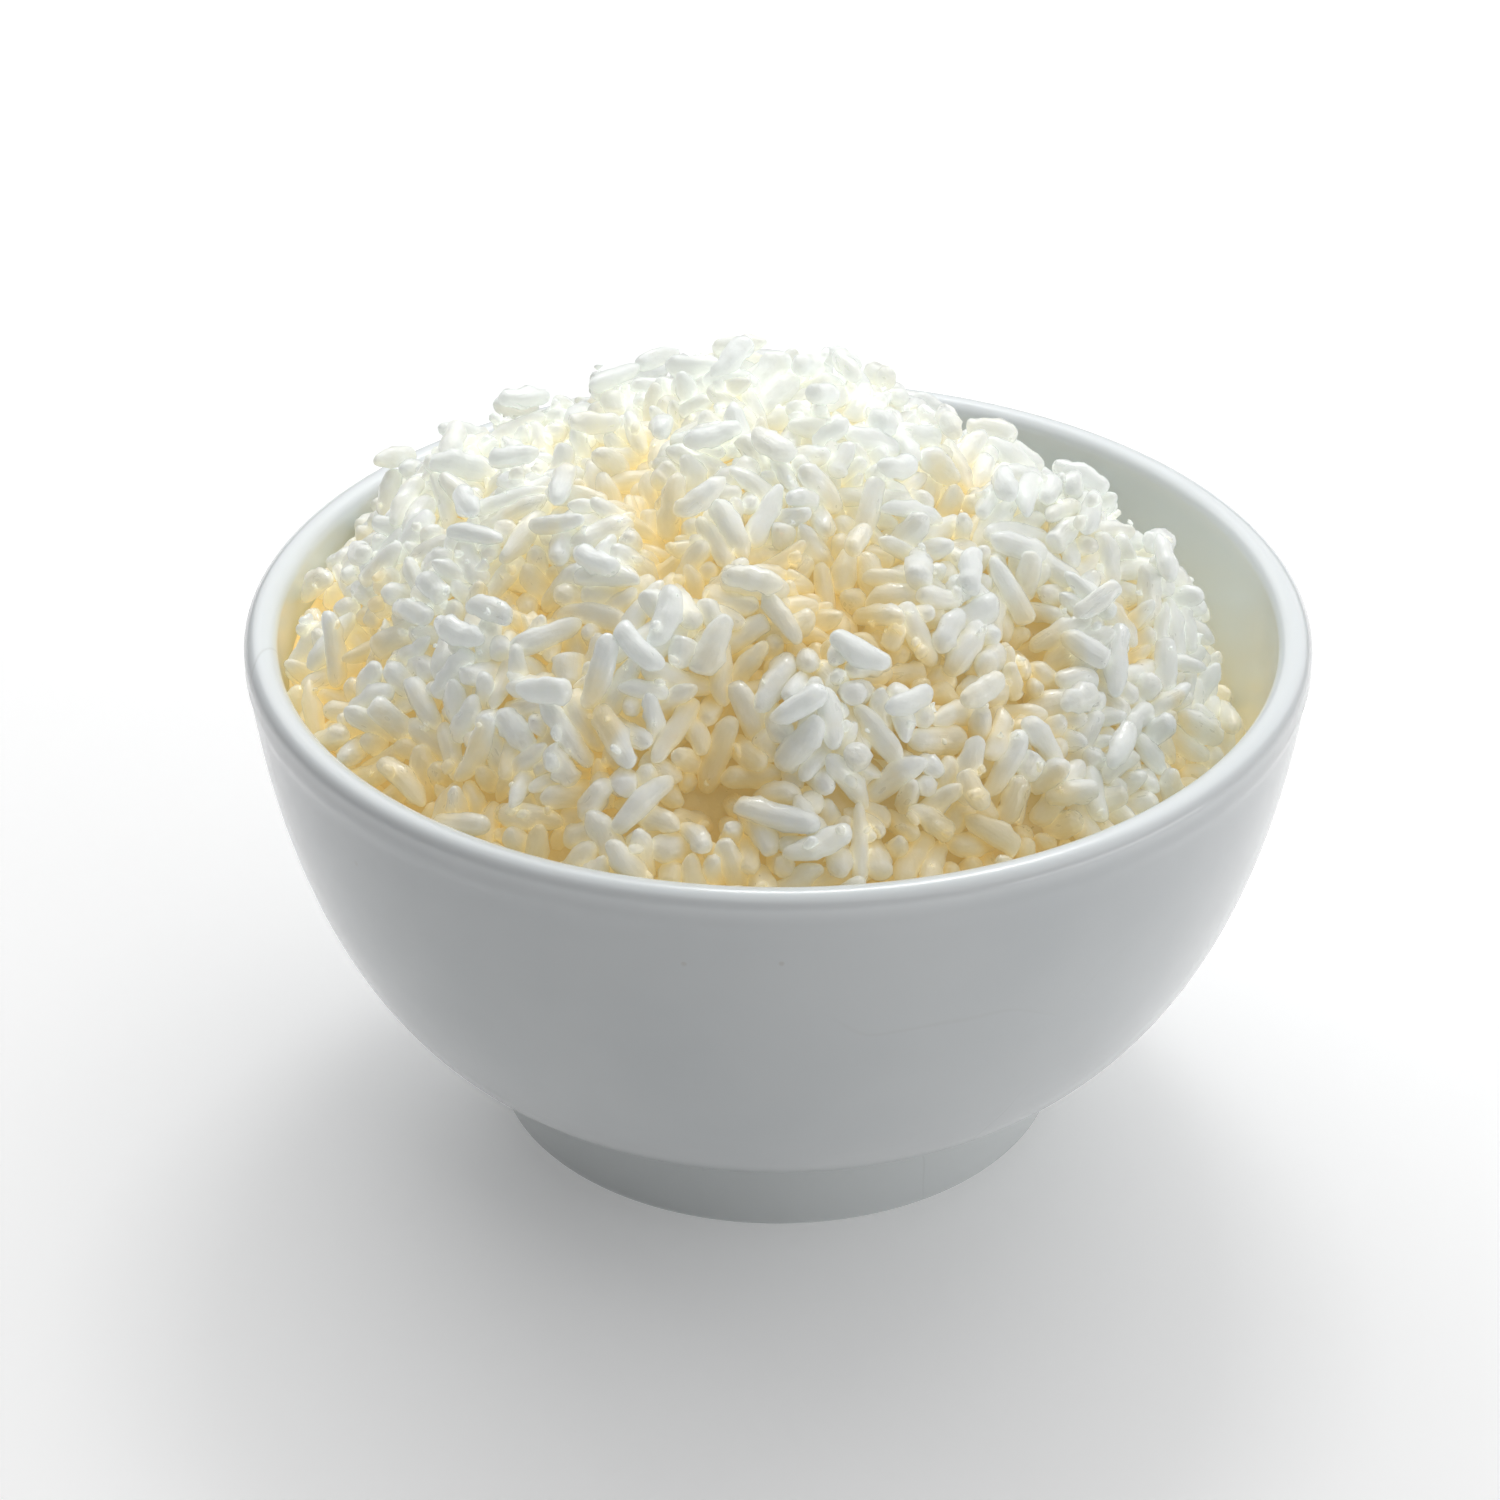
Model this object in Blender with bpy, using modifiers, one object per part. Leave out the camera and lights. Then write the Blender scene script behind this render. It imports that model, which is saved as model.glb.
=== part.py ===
"""A white glazed rice bowl on a foot ring, heaped with cooked rice.

The bowl is one turned and fired piece. The rice that fills it is one packed heap, whose top
reaches the tips of its grains, and the loose grains that lie on the heap are pieces of their own.
Metres, +Z up. The origin is the middle of the foot ring, on the surface that the bowl stands on.
"""

import math
import random

import bmesh
import bpy
from mathutils import Matrix, Vector
from mathutils.bvhtree import BVHTree

MM = 0.001
GAP = 0.4 * MM  # left between pieces that touch

# Bowl: driving sizes
RIM_RADIUS = 65.0 * MM
BOWL_HEIGHT = 66.7 * MM
FOOT_RADIUS = 35.8 * MM
TURNED_STEPS = 48

# Both faces of the wall follow spread * (1 - depth ** BEND) ** (1 / FLARE), where depth runs
# from 0 at PLUMB_HEIGHT, where the wall would stand upright, to 1 at that face's own floor.
PLUMB_HEIGHT = 75.4 * MM
BEND = 1.885
FLARE = 4.17
OUTER_SPREAD = 65.4 * MM
OUTER_FLOOR = 7.0 * MM
INNER_SPREAD = 61.3 * MM
INNER_FLOOR = 9.0 * MM

INNER_RINGS = 10
OUTER_RINGS = (60, 54, 46, 38, 31, 25, 20, 15.5, 12.8, 11.2)  # heights in millimetres

# Lip: a half ellipse over the wall, with a small bead on its outside
LIP_DROP = 1.7 * MM
LIP_WALL = 4.1 * MM
LIP_STEPS = 6
BEAD_HEIGHT = 1.6 * MM
BEAD_DEPTH = 0.55 * MM

# Foot ring and the recess in it, from the neck under the wall round to the recess's flat
# ceiling: distance outside FOOT_RADIUS, and height, in millimetres
FOOT_OUTLINE = (
    (1.2, 10.2),
    (0.5, 8.8),
    (0.0, 1.0),
    (-0.9, 0.0),
    (-3.2, 0.0),
    (-4.0, 0.9),
    (-4.6, 4.3),
    (-5.6, 5.2),
)

# Rice heap
HEAP_SEGMENTS = 48
HEAP_RINGS = 24
CROWN_HEIGHT = 93.8 * MM
EDGE_FALL = 14  # how sharply the heap drops just before it meets the wall
SIDE_LEVEL = 59.0 * MM  # mean height at which the rice meets the wall
RIGHT_SLUMP = -7.5 * MM  # lower at +X than at -X
BACK_SLUMP = -3.5 * MM  # lower at +Y than at -Y
CROSS_SLUMP = -2.5 * MM  # lower along X than along Y

# Rises and hollows on the heap: x, y, spread and height, in millimetres
LOBES = (
    (48, -2, 12, 11.0),
    (-36, -4, 13, 3.0),
    (-47, 20, 10, 5.0),
    (-21, 3, 8, -8.0),
    (-6, 8, 11, 3.0),
    (20, 12, 10, -2.0),
    (10, -18, 8, -3.0),
    (28, -14, 7, -2.5),
    (-22, -38, 11, 2.0),
    (14, -40, 10, 1.5),
)
LUMP_HEIGHT = 0.8 * MM
LUMP_WIDTH = 11.0 * MM

# Loose grains
GRAIN_COUNT = 44
GRAIN_LENGTH = (6.8 * MM, 8.4 * MM)
GRAIN_WIDTH = (2.9 * MM, 3.4 * MM)
GRAIN_BEND = 0.5 * MM
GRAIN_BLUNTNESS = 0.72  # 1 is an ellipsoid, less is closer to a rod with round ends
GRAIN_SEGMENTS = 8
GRAIN_RINGS = 7
GRAIN_REACH = 52.0 * MM
GRAIN_SCATTER = 2.5 * MM
GRAIN_TILT = 16  # degrees either way from the slope that the grain lies on
GRAIN_STEEP = 0.84  # upward share of the slope's normal, under which a grain lies across the slope
GRAIN_SWAY = 0.08  # share of a full turn by which such a grain may still point uphill
GOLDEN_ANGLE = math.pi * (3 - math.sqrt(5))


def clear_scene():
    for old in list(bpy.data.objects):
        bpy.data.objects.remove(old, do_unlink=True)


def make_collection(name):
    collection = bpy.data.collections.new(name)
    bpy.context.scene.collection.children.link(collection)
    return collection


def make_material(name, colour, roughness):
    material = bpy.data.materials.new(name)
    material.use_nodes = True
    shader = material.node_tree.nodes["Principled BSDF"]
    shader.inputs["Base Color"].default_value = (*colour, 1)
    shader.inputs["Roughness"].default_value = roughness
    shader.inputs["Metallic"].default_value = 0
    return material


def add_object(name, bm, material, collection):
    """Turns a bmesh into a smooth shaded object of the collection."""
    mesh = bpy.data.meshes.new(name)
    bm.to_mesh(mesh)
    bm.free()
    mesh.shade_smooth()
    mesh.materials.append(material)
    made = bpy.data.objects.new(name, mesh)
    collection.objects.link(made)
    return made


def wall_radius(z, spread, floor):
    depth = (PLUMB_HEIGHT - z) / (PLUMB_HEIGHT - floor)
    return spread * (1 - depth**BEND) ** (1 / FLARE)


def wall_height(radius, spread, floor):
    """The other way round: where on the wall a radius is reached."""
    depth = (1 - (radius / spread) ** FLARE) ** (1 / BEND)
    return PLUMB_HEIGHT - depth * (PLUMB_HEIGHT - floor)


def ellipse_arc(centre, half_width, half_height, start, end, steps):
    """Points on an ellipse from one angle to another, in degrees, both ends included."""
    angles = [math.radians(start + (end - start) * i / steps) for i in range(steps + 1)]
    return [
        (centre[0] + half_width * math.cos(a), centre[1] + half_height * math.sin(a))
        for a in angles
    ]


def bowl_profile():
    """From the middle of the inside floor up over the lip and down to the middle of the recess."""
    lip_middle = (RIM_RADIUS - LIP_WALL / 2, BOWL_HEIGHT - LIP_DROP)
    inner_lip = lip_middle[0] - LIP_WALL / 2
    bead_foot = RIM_RADIUS - BEAD_DEPTH
    under_bead = lip_middle[1] - BEAD_HEIGHT

    points = [(0, INNER_FLOOR)]
    for i in range(1, INNER_RINGS + 1):
        radius = inner_lip * math.sin(math.pi / 2 * i / (INNER_RINGS + 1))
        points.append((radius, wall_height(radius, INNER_SPREAD, INNER_FLOOR)))
    points += ellipse_arc(lip_middle, LIP_WALL / 2, LIP_DROP, 180, 0, LIP_STEPS)
    points.append((bead_foot + BEAD_DEPTH / 2, under_bead + BEAD_HEIGHT / 3))
    points.append((bead_foot, under_bead))

    for z in OUTER_RINGS:
        points.append((wall_radius(z * MM, OUTER_SPREAD, OUTER_FLOOR), z * MM))
    points += [(FOOT_RADIUS + out * MM, z * MM) for out, z in FOOT_OUTLINE]
    points.append((0, points[-1][1]))
    return points


def add_bowl(material, collection):
    """The profile turned once round Z."""
    bm = bmesh.new()
    verts = [bm.verts.new((r, 0, z)) for r, z in bowl_profile()]
    for a, b in zip(verts, verts[1:]):
        bm.edges.new((a, b))
    bowl = add_object("bowl", bm, material, collection)

    screw = bowl.modifiers.new("turned", "SCREW")
    screw.axis = "Z"
    screw.angle = math.tau
    screw.steps = TURNED_STEPS
    screw.render_steps = TURNED_STEPS
    screw.use_merge_vertices = True
    screw.merge_threshold = 0.00005
    screw.use_smooth_shade = True
    return bowl


def side_level(angle):
    """How high the rice stands against the wall, round the bowl."""
    slump = RIGHT_SLUMP * math.cos(angle) + BACK_SLUMP * math.sin(angle)
    return SIDE_LEVEL + slump + CROSS_SLUMP * math.cos(2 * angle)


def heap_height(x, y, edge, level):
    """The top of the heap: a dome with lobes and lumps that falls to level at radius edge."""
    share = min(math.hypot(x, y) / edge, 1)
    top = CROWN_HEIGHT - (CROWN_HEIGHT - level) * share**2
    for lobe_x, lobe_y, spread, height in LOBES:
        away = math.hypot(x - lobe_x * MM, y - lobe_y * MM) / (spread * MM)
        top += height * MM * math.exp(-(away**2) / 2)
    wave = math.tau / LUMP_WIDTH
    top += LUMP_HEIGHT * math.sin(wave * (x + 0.4 * y)) * math.sin(wave * (y - 0.3 * x) + 1)
    return level + (top - level) * (1 - share**EDGE_FALL)


def add_heap(material, collection):
    """A ball whose lower half is pressed into the bowl and whose upper half is the heap."""
    bm = bmesh.new()
    bmesh.ops.create_uvsphere(bm, u_segments=HEAP_SEGMENTS, v_segments=HEAP_RINGS, radius=1)
    spread = INNER_SPREAD - GAP
    floor = INNER_FLOOR + GAP
    for vert in bm.verts:
        angle = math.atan2(vert.co.y, vert.co.x)
        level = side_level(angle)
        edge = wall_radius(level, spread, floor)
        latitude = math.asin(max(-1, min(1, vert.co.z)))
        radius = edge * math.cos(latitude)
        x = radius * math.cos(angle)
        y = radius * math.sin(angle)
        if latitude > 0.001:
            z = heap_height(x, y, edge, level)
        else:
            z = wall_height(min(radius, edge), spread, floor)
        vert.co = (x, y, z)
    return add_object("rice_heap", bm, material, collection)


def grain_shape(length, width, bend):
    """One cooked grain along X, a little flat, curved like a shallow bow and blunt at its ends."""
    bm = bmesh.new()
    bmesh.ops.create_uvsphere(
        bm, u_segments=GRAIN_SEGMENTS, v_segments=GRAIN_RINGS, radius=1
    )
    for vert in bm.verts:
        along, side, up = vert.co.z, vert.co.x, vert.co.y
        girth = math.hypot(side, up)
        if girth > 0.001:
            fuller = girth**GRAIN_BLUNTNESS / girth
            side *= fuller
            up *= fuller
        vert.co = (
            along * length / 2,
            side * width / 2 + bend * (1 - along**2),
            up * width * 0.45,
        )
    return bm


def slope_at(tree, x, y):
    """Where a plumb line at x, y meets the heap, and the heap's normal there."""
    place, normal, _, _ = tree.ray_cast(Vector((x, y, 0.2)), Vector((0, 0, -1)))
    return place, normal


def settle(bm, tree):
    """Lowers a grain straight down until its lowest clearance over the heap is GAP."""
    clearances = []
    for vert in bm.verts:
        place, _ = slope_at(tree, vert.co.x, vert.co.y)
        if place is not None:
            clearances.append(vert.co.z - place.z)
    bmesh.ops.translate(bm, verts=bm.verts, vec=(0, 0, GAP - min(clearances)))


def add_loose_grains(heap, material, collection):
    """Grains on a sunflower spiral over the heap, scattered a little, each on its own slope."""
    draw = random.Random(12)
    heap_bm = bmesh.new()
    heap_bm.from_mesh(heap.data)
    tree = BVHTree.FromBMesh(heap_bm)
    for i in range(GRAIN_COUNT):
        reach = GRAIN_REACH * math.sqrt((i + 0.5) / GRAIN_COUNT)
        x = reach * math.cos(i * GOLDEN_ANGLE) + draw.uniform(-GRAIN_SCATTER, GRAIN_SCATTER)
        y = reach * math.sin(i * GOLDEN_ANGLE) + draw.uniform(-GRAIN_SCATTER, GRAIN_SCATTER)
        place, normal = slope_at(tree, x, y)
        bm = grain_shape(
            draw.uniform(*GRAIN_LENGTH),
            draw.uniform(*GRAIN_WIDTH),
            draw.uniform(0, GRAIN_BEND),
        )
        tilt = math.radians(draw.uniform(-GRAIN_TILT, GRAIN_TILT))
        heading = draw.uniform(0, math.tau)
        if normal.z < GRAIN_STEEP:
            heading *= GRAIN_SWAY
        lie = (
            Matrix.Translation(place + Vector((0, 0, GRAIN_LENGTH[1])))
            @ normal.to_track_quat("Z", "Y").to_matrix().to_4x4()
            @ Matrix.Rotation(heading, 4, "Z")
            @ Matrix.Rotation(tilt, 4, "Y")
        )
        bmesh.ops.transform(bm, matrix=lie, verts=bm.verts)
        settle(bm, tree)
        add_object(f"grain_{i + 1:02d}", bm, material, collection)
    heap_bm.free()


def main():
    clear_scene()
    collection = make_collection("bowl_of_rice")
    glaze = make_material("white_glaze", (0.82, 0.84, 0.84), 0.12)
    rice = make_material("cooked_rice", (0.90, 0.87, 0.78), 0.35)
    add_bowl(glaze, collection)
    heap = add_heap(rice, collection)
    add_loose_grains(heap, rice, collection)


main()
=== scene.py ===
import math

import bmesh
import bpy
import numpy as np
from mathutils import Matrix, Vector
from mathutils.bvhtree import BVHTree


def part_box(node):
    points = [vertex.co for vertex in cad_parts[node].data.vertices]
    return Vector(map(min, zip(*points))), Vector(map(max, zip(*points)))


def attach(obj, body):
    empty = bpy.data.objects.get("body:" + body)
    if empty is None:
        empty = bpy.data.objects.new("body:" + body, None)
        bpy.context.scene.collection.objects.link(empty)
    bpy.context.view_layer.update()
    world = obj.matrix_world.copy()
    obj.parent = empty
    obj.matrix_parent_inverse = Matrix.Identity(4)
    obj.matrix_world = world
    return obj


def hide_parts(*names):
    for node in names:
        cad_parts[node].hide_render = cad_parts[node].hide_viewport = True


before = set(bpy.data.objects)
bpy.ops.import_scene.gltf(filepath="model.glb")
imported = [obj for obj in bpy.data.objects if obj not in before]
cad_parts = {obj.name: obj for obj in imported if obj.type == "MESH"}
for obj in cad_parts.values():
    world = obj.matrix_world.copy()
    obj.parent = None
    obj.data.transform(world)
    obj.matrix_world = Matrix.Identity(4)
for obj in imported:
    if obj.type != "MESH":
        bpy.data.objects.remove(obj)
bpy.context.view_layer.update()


# Bowl
# A footed rice bowl of white porcelain, thrown and turned in one piece. The lip is rolled over
# into a small bead, and the bowl stands on the ring that was cut under it.

bowl_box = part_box("bowl")
rim_radius = bowl_box[1].x
bowl_height = bowl_box[1].z
foot_radius = rim_radius - 0.0292

# Both faces of the wall follow spread * (1 - depth ** bend) ** (1 / flare). depth runs from 0,
# where the wall would stand upright, to 1 at that face's own floor.
plumb_height = bowl_height + 0.0087
outer_wall = (rim_radius + 0.0004, 0.0070)  # spread and floor height
inner_wall = (rim_radius - 0.0037, 0.0090)
wall_bend = 1.885
wall_flare = 4.17


def wall_radius(z, face):
    spread, floor = face
    depth = np.clip((plumb_height - z) / (plumb_height - floor), 0, 1)
    return spread * (1 - depth**wall_bend) ** (1 / wall_flare)


def wall_height(radius, face):
    """The other way round: where on a face a radius is reached."""
    spread, floor = face
    depth = (1 - (radius / spread) ** wall_flare) ** (1 / wall_bend)
    return plumb_height - depth * (plumb_height - floor)


def ellipse_arc(middle, wide, high, start, end, steps):
    """Points on an ellipse between two angles in degrees, both ends included."""
    turns = np.radians(np.linspace(start, end, steps + 1))
    return [(middle[0] + wide * math.cos(a), middle[1] + high * math.sin(a)) for a in turns]


def bowl_outline():
    """Radius and height, from the middle of the floor over the lip to the middle underneath."""
    lip_wall, lip_drop = 0.0041, 0.0017
    lip_middle = (rim_radius - lip_wall / 2, bowl_height - lip_drop)
    inner_lip = rim_radius - lip_wall
    points = [(0, inner_wall[1])]
    for turn in np.linspace(0, math.pi / 2, 44)[1:-1]:
        radius = inner_lip * math.sin(turn)
        height = wall_height(radius, inner_wall)
        if height < lip_middle[1] - 0.0012:
            points.append((radius, height))
    points += ellipse_arc(lip_middle, lip_wall / 2, lip_drop, 180, 0, 22)
    bead_height, bead_depth = 0.0034, 0.0008
    neck_height = 0.0115
    for z in np.linspace(lip_middle[1], neck_height, 60)[1:]:
        under = (lip_middle[1] - z) / bead_height
        bead = bead_depth / 2 * (1 + math.cos(math.pi * under)) if under < 1 else 0
        wall = float(wall_radius(z, outer_wall))
        points.append((min(wall + bead, rim_radius), z))
    points += ellipse_arc((foot_radius + 0.0026, 0.0086), 0.0020, 0.0020, 105, 180, 6)
    points += [(foot_radius + 0.0004, 0.0060), (foot_radius + 0.0002, 0.0035)]
    points += ellipse_arc((foot_radius - 0.0010, 0.0010), 0.0010, 0.0010, 0, -90, 6)
    points += ellipse_arc((foot_radius - 0.0032, 0.0009), 0.0008, 0.0009, -90, -180, 5)
    points += [(foot_radius - 0.0043, 0.0028)]
    points += ellipse_arc((foot_radius - 0.0056, 0.0042), 0.0010, 0.0010, 0, 90, 5)
    points.append((0, 0.0052))
    return points


def placed(name, data):
    """A mesh, lamp or camera as an object of the scene."""
    piece = bpy.data.objects.new(name, data)
    bpy.context.scene.collection.objects.link(piece)
    return piece


def turned(name, outline, steps):
    """A shape turned on the wheel: the outline carried once round Z."""
    mesh = bpy.data.meshes.new(name)
    edges = [(i, i + 1) for i in range(len(outline) - 1)]
    mesh.from_pydata([(r, 0, z) for r, z in outline], edges, [])
    piece = placed(name, mesh)
    screw = piece.modifiers.new("wheel", "SCREW")
    screw.angle = math.tau
    screw.steps = screw.render_steps = steps
    screw.use_merge_vertices = True
    screw.merge_threshold = 0.00002
    screw.use_smooth_shade = True
    graph = bpy.context.evaluated_depsgraph_get()
    done = bpy.data.meshes.new_from_object(piece.evaluated_get(graph))
    piece.modifiers.clear()
    piece.data = done
    return piece


def mark(mesh, name, values):
    """Leaves one number on each point of a mesh for its finish to read."""
    mesh.attributes.new(name, "FLOAT", "POINT").data.foreach_set("value", values.astype(np.float32))


def inside_share(mesh):
    """1 on the inner wall and over the lip, easing to 0 on the outside and under the foot."""
    points = np.array([v.co for v in mesh.vertices])
    z, radius = points[:, 2], np.hypot(points[:, 0], points[:, 1])
    middle = (wall_radius(z, outer_wall) + wall_radius(z, inner_wall)) / 2
    over_lip, fade = 0.0012, 0.0010
    share = np.clip((middle + over_lip - radius) / fade + 0.5, 0, 1)
    return np.where(z > inner_wall[1] - 0.0001, share, 0)


bowl = turned("glazed_bowl", bowl_outline(), 160)
mark(bowl.data, "inside", inside_share(bowl.data))
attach(bowl, "root")
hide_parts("bowl")


# Glaze
# A clear glaze over the white body. The outside is painted a darker blue-grey as painted shade, and
# the inside, the lip and the foot whiter as painted light. It pooled unevenly, and has a few specks
# and some faint crazing.


class Wire:
    """One output of a finish's nodes. Arithmetic on wires adds the Math nodes for it."""

    def __init__(self, finish, socket):
        self.finish = finish
        self.socket = socket

    def maths(self, operation, first, second):
        return self.finish.node("ShaderNodeMath", {"operation": operation}, {0: first, 1: second})

    def __add__(self, other):
        return self.maths("ADD", self, other)

    def __radd__(self, other):
        return self.maths("ADD", other, self)

    def __sub__(self, other):
        return self.maths("SUBTRACT", self, other)

    def __rsub__(self, other):
        return self.maths("SUBTRACT", other, self)

    def __mul__(self, other):
        return self.maths("MULTIPLY", self, other)

    def __rmul__(self, other):
        return self.maths("MULTIPLY", other, self)


class Finish:
    """A material with one Principled shader, whose even settings are given by name."""

    def __init__(self, name, **even):
        self.material = bpy.data.materials.new(name)
        self.material.use_nodes = True
        self.tree = self.material.node_tree
        self.shader = self.tree.nodes["Principled BSDF"]
        for setting, value in even.items():
            self.shader.inputs[setting.replace("_", " ")].default_value = value

    def put(self, socket, value):
        if isinstance(value, Wire):
            self.tree.links.new(value.socket, socket)
        else:
            socket.default_value = value

    def node(self, kind, settings, sockets, output=0):
        made = self.tree.nodes.new(kind)
        for setting, value in settings.items():
            if setting == "stops":
                made.color_ramp.elements[0].position, made.color_ramp.elements[0].color = value[0]
                made.color_ramp.elements[1].position, made.color_ramp.elements[1].color = value[-1]
                for place, colour in value[1:-1]:
                    made.color_ramp.elements.new(place).color = colour
            else:
                setattr(made, setting, value)
        for key, value in sockets.items():
            self.put(made.inputs[key], value)
        return Wire(self, made.outputs[output])

    def places(self):
        return self.node("ShaderNodeTexCoord", {}, {}, "Object")

    def marks(self, name, output="Fac"):
        """What was left on the points of the mesh under that name."""
        return self.node("ShaderNodeAttribute", {"attribute_name": name}, {}, output)

    def stretched(self, places, scale):
        return self.node("ShaderNodeMapping", {}, {"Vector": places, "Scale": scale})

    def cloud(self, places, scale, detail=2.0, roughness=0.5, output="Fac"):
        sockets = {"Vector": places, "Scale": scale, "Detail": detail, "Roughness": roughness}
        return self.node("ShaderNodeTexNoise", {}, sockets, output)

    def cells(self, places, scale, feature):
        sockets = {"Vector": places, "Scale": scale}
        return self.node("ShaderNodeTexVoronoi", {"feature": feature}, sockets, "Distance")

    def eased(self, value, low, high, start=0.0, end=1.0):
        """value between low and high, eased to run from start to end."""
        sockets = {"Value": value, 1: low, 2: high, 3: start, 4: end}
        return self.node("ShaderNodeMapRange", {"interpolation_type": "SMOOTHSTEP"}, sockets)

    def blended(self, share, first, second):
        sockets = {0: share, 6: first, 7: second}
        return self.node("ShaderNodeMix", {"data_type": "RGBA"}, sockets, output=2)

    def relief(self, height, depth, under=None):
        """A Bump node for heights from 0 to 1 that stand depth metres tall."""
        sockets = {"Height": height, "Distance": depth, "Strength": 1.0}
        if under is not None:
            sockets["Normal"] = under
        return self.node("ShaderNodeBump", {}, sockets)

    def feed(self, **wires):
        for setting, wire in wires.items():
            self.put(self.shader.inputs[setting.replace("_", " ")], wire)


def glaze_finish():
    glaze = Finish(
        "white_glaze",
        Coat_Roughness=0.13,
        Coat_IOR=1.40,
        IOR=1.42,
        Subsurface_Weight=0.12,
        Subsurface_Radius=(1.0, 0.9, 0.8),
        Subsurface_Scale=0.0012,
    )
    # The outside colours are kept dark grey-blue as painted shade; thick and thin pooling and
    # mottling vary them.
    thick = (0.540, 0.565, 0.577, 1)
    thin = (0.590, 0.611, 0.619, 1)
    mottled = (0.52, 0.56, 0.59, 1)
    painted_light_inside = (0.800, 0.870, 0.890, 1)
    painted_light_on_foot = (0.72, 0.75, 0.75, 1)
    painted_light_on_lip = (0.90, 0.93, 0.94, 1)
    iron = (0.42, 0.40, 0.36, 1)
    stain = (0.50, 0.51, 0.50, 1)

    here = glaze.places()
    pooling = glaze.cloud(here, 26, detail=3)
    mottling = glaze.cloud(here, 170, detail=4, roughness=0.62)
    body = glaze.blended(glaze.eased(pooling, 0.3, 0.7), thick, thin)
    body = glaze.blended(mottling * 0.12, body, mottled)
    # The inside and over the lip are painted lighter than the outside: painted light.
    body = glaze.blended(glaze.marks("inside"), body, painted_light_inside)
    level = glaze.node("ShaderNodeSeparateXYZ", {}, {0: here}, "Z")
    # The foot is lightened as painted light.
    foot = glaze.eased(level, 0.0085, 0.0115, 1, 0) * (1 - glaze.marks("inside"))
    body = glaze.blended(foot * 0.8, body, painted_light_on_foot)
    # The top of the lip is lightened as a painted highlight.
    lip = glaze.eased(level, bowl_height - 0.0036, bowl_height - 0.0005)
    body = glaze.blended(lip * 0.55, body, painted_light_on_lip)

    speck_sizes = glaze.cells(here, 150, "F1")
    few = glaze.eased(glaze.cloud(here, 60, detail=1), 0.60, 0.64)
    specks = glaze.eased(speck_sizes, 0.035, 0.075, 1, 0) * few
    body = glaze.blended(specks * 0.45, body, iron)

    wander = glaze.node(
        "ShaderNodeVectorMath",
        {"operation": "MULTIPLY_ADD"},
        {0: glaze.cloud(here, 30, output="Color"), 1: (0.02, 0.02, 0.02), 2: here},
    )
    crazing = glaze.eased(glaze.cells(wander, 17, "DISTANCE_TO_EDGE"), 0.0, 0.0045, 1, 0)
    patchy = glaze.eased(glaze.cloud(here, 19, detail=1), 0.56, 0.66)
    crazing = crazing * patchy
    body = glaze.blended(crazing * 0.22, body, stain)

    polish = 0.27 + 0.12 * mottling + 0.12 * crazing
    orange_peel = glaze.cloud(here, 420, detail=2)
    waves = glaze.cloud(glaze.stretched(here, (1, 1, 3)), 34, detail=2)
    skin = glaze.relief(orange_peel, 0.000012)
    skin = glaze.relief(waves, 0.00016, under=skin)
    skin = glaze.relief(1 - crazing, 0.00002, under=skin)
    glaze.feed(Base_Color=body, Roughness=polish, Coat_Weight=0.8 - 0.4 * specks, Normal=skin)
    return glaze.material


bowl.data.materials.clear()
bowl.data.materials.append(glaze_finish())


# Heap
# Cooked medium-grain rice, pressed into the bowl and heaped over its lip. It stands well over
# the lip in clumps with crevices between them, and slumps away from the wall on the right.

heap_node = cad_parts["rice_heap"]
heap_skin = bmesh.new()
heap_skin.from_mesh(heap_node.data)
heap_tree = BVHTree.FromBMesh(heap_skin)
heap_skin.free()

grid_reach = rim_radius
grid_cells = 240
grid_step = 2 * grid_reach / grid_cells
grid_line = (np.arange(grid_cells) + 0.5) * grid_step - grid_reach


def plumbed_heights():
    """The heap's top on a grid. Cells outside it take the height of the nearest cell inside."""
    heights = np.full((grid_cells, grid_cells), np.nan)
    down = Vector((0, 0, -1))
    for i, x in enumerate(grid_line):
        for j, y in enumerate(grid_line):
            if x * x + y * y < rim_radius**2:
                place = heap_tree.ray_cast(Vector((x, y, 1)), down)[0]
                if place is not None:
                    heights[i, j] = place.z
    while np.isnan(heights).any():
        padded = np.pad(heights, 1, constant_values=np.nan)
        around = np.stack(
            [padded[:-2, 1:-1], padded[2:, 1:-1], padded[1:-1, :-2], padded[1:-1, 2:]]
        )
        known = ~np.isnan(around)
        sums = np.where(known, around, 0).sum(0)
        counts = known.sum(0)
        fillable = np.isnan(heights) & (counts > 0)
        heights[fillable] = sums[fillable] / counts[fillable]
    return heights


def smoothed(heights, reach):
    """A box blur, twice, that reaches so many metres."""
    wide = int(round(reach / grid_step))
    for _ in range(2):
        for axis in (0, 1):
            margins = [(0, 0), (0, 0)]
            margins[axis] = (wide + 1, wide)
            padded = np.pad(heights, margins, "edge")
            sums = np.cumsum(padded, axis)
            upper = np.take(sums, range(2 * wide + 1, sums.shape[axis]), axis)
            lower = np.take(sums, range(sums.shape[axis] - 2 * wide - 1), axis)
            heights = (upper - lower) / (2 * wide + 1)
    return heights


def unit(vectors):
    return vectors / np.linalg.norm(vectors, axis=-1, keepdims=True)


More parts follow.
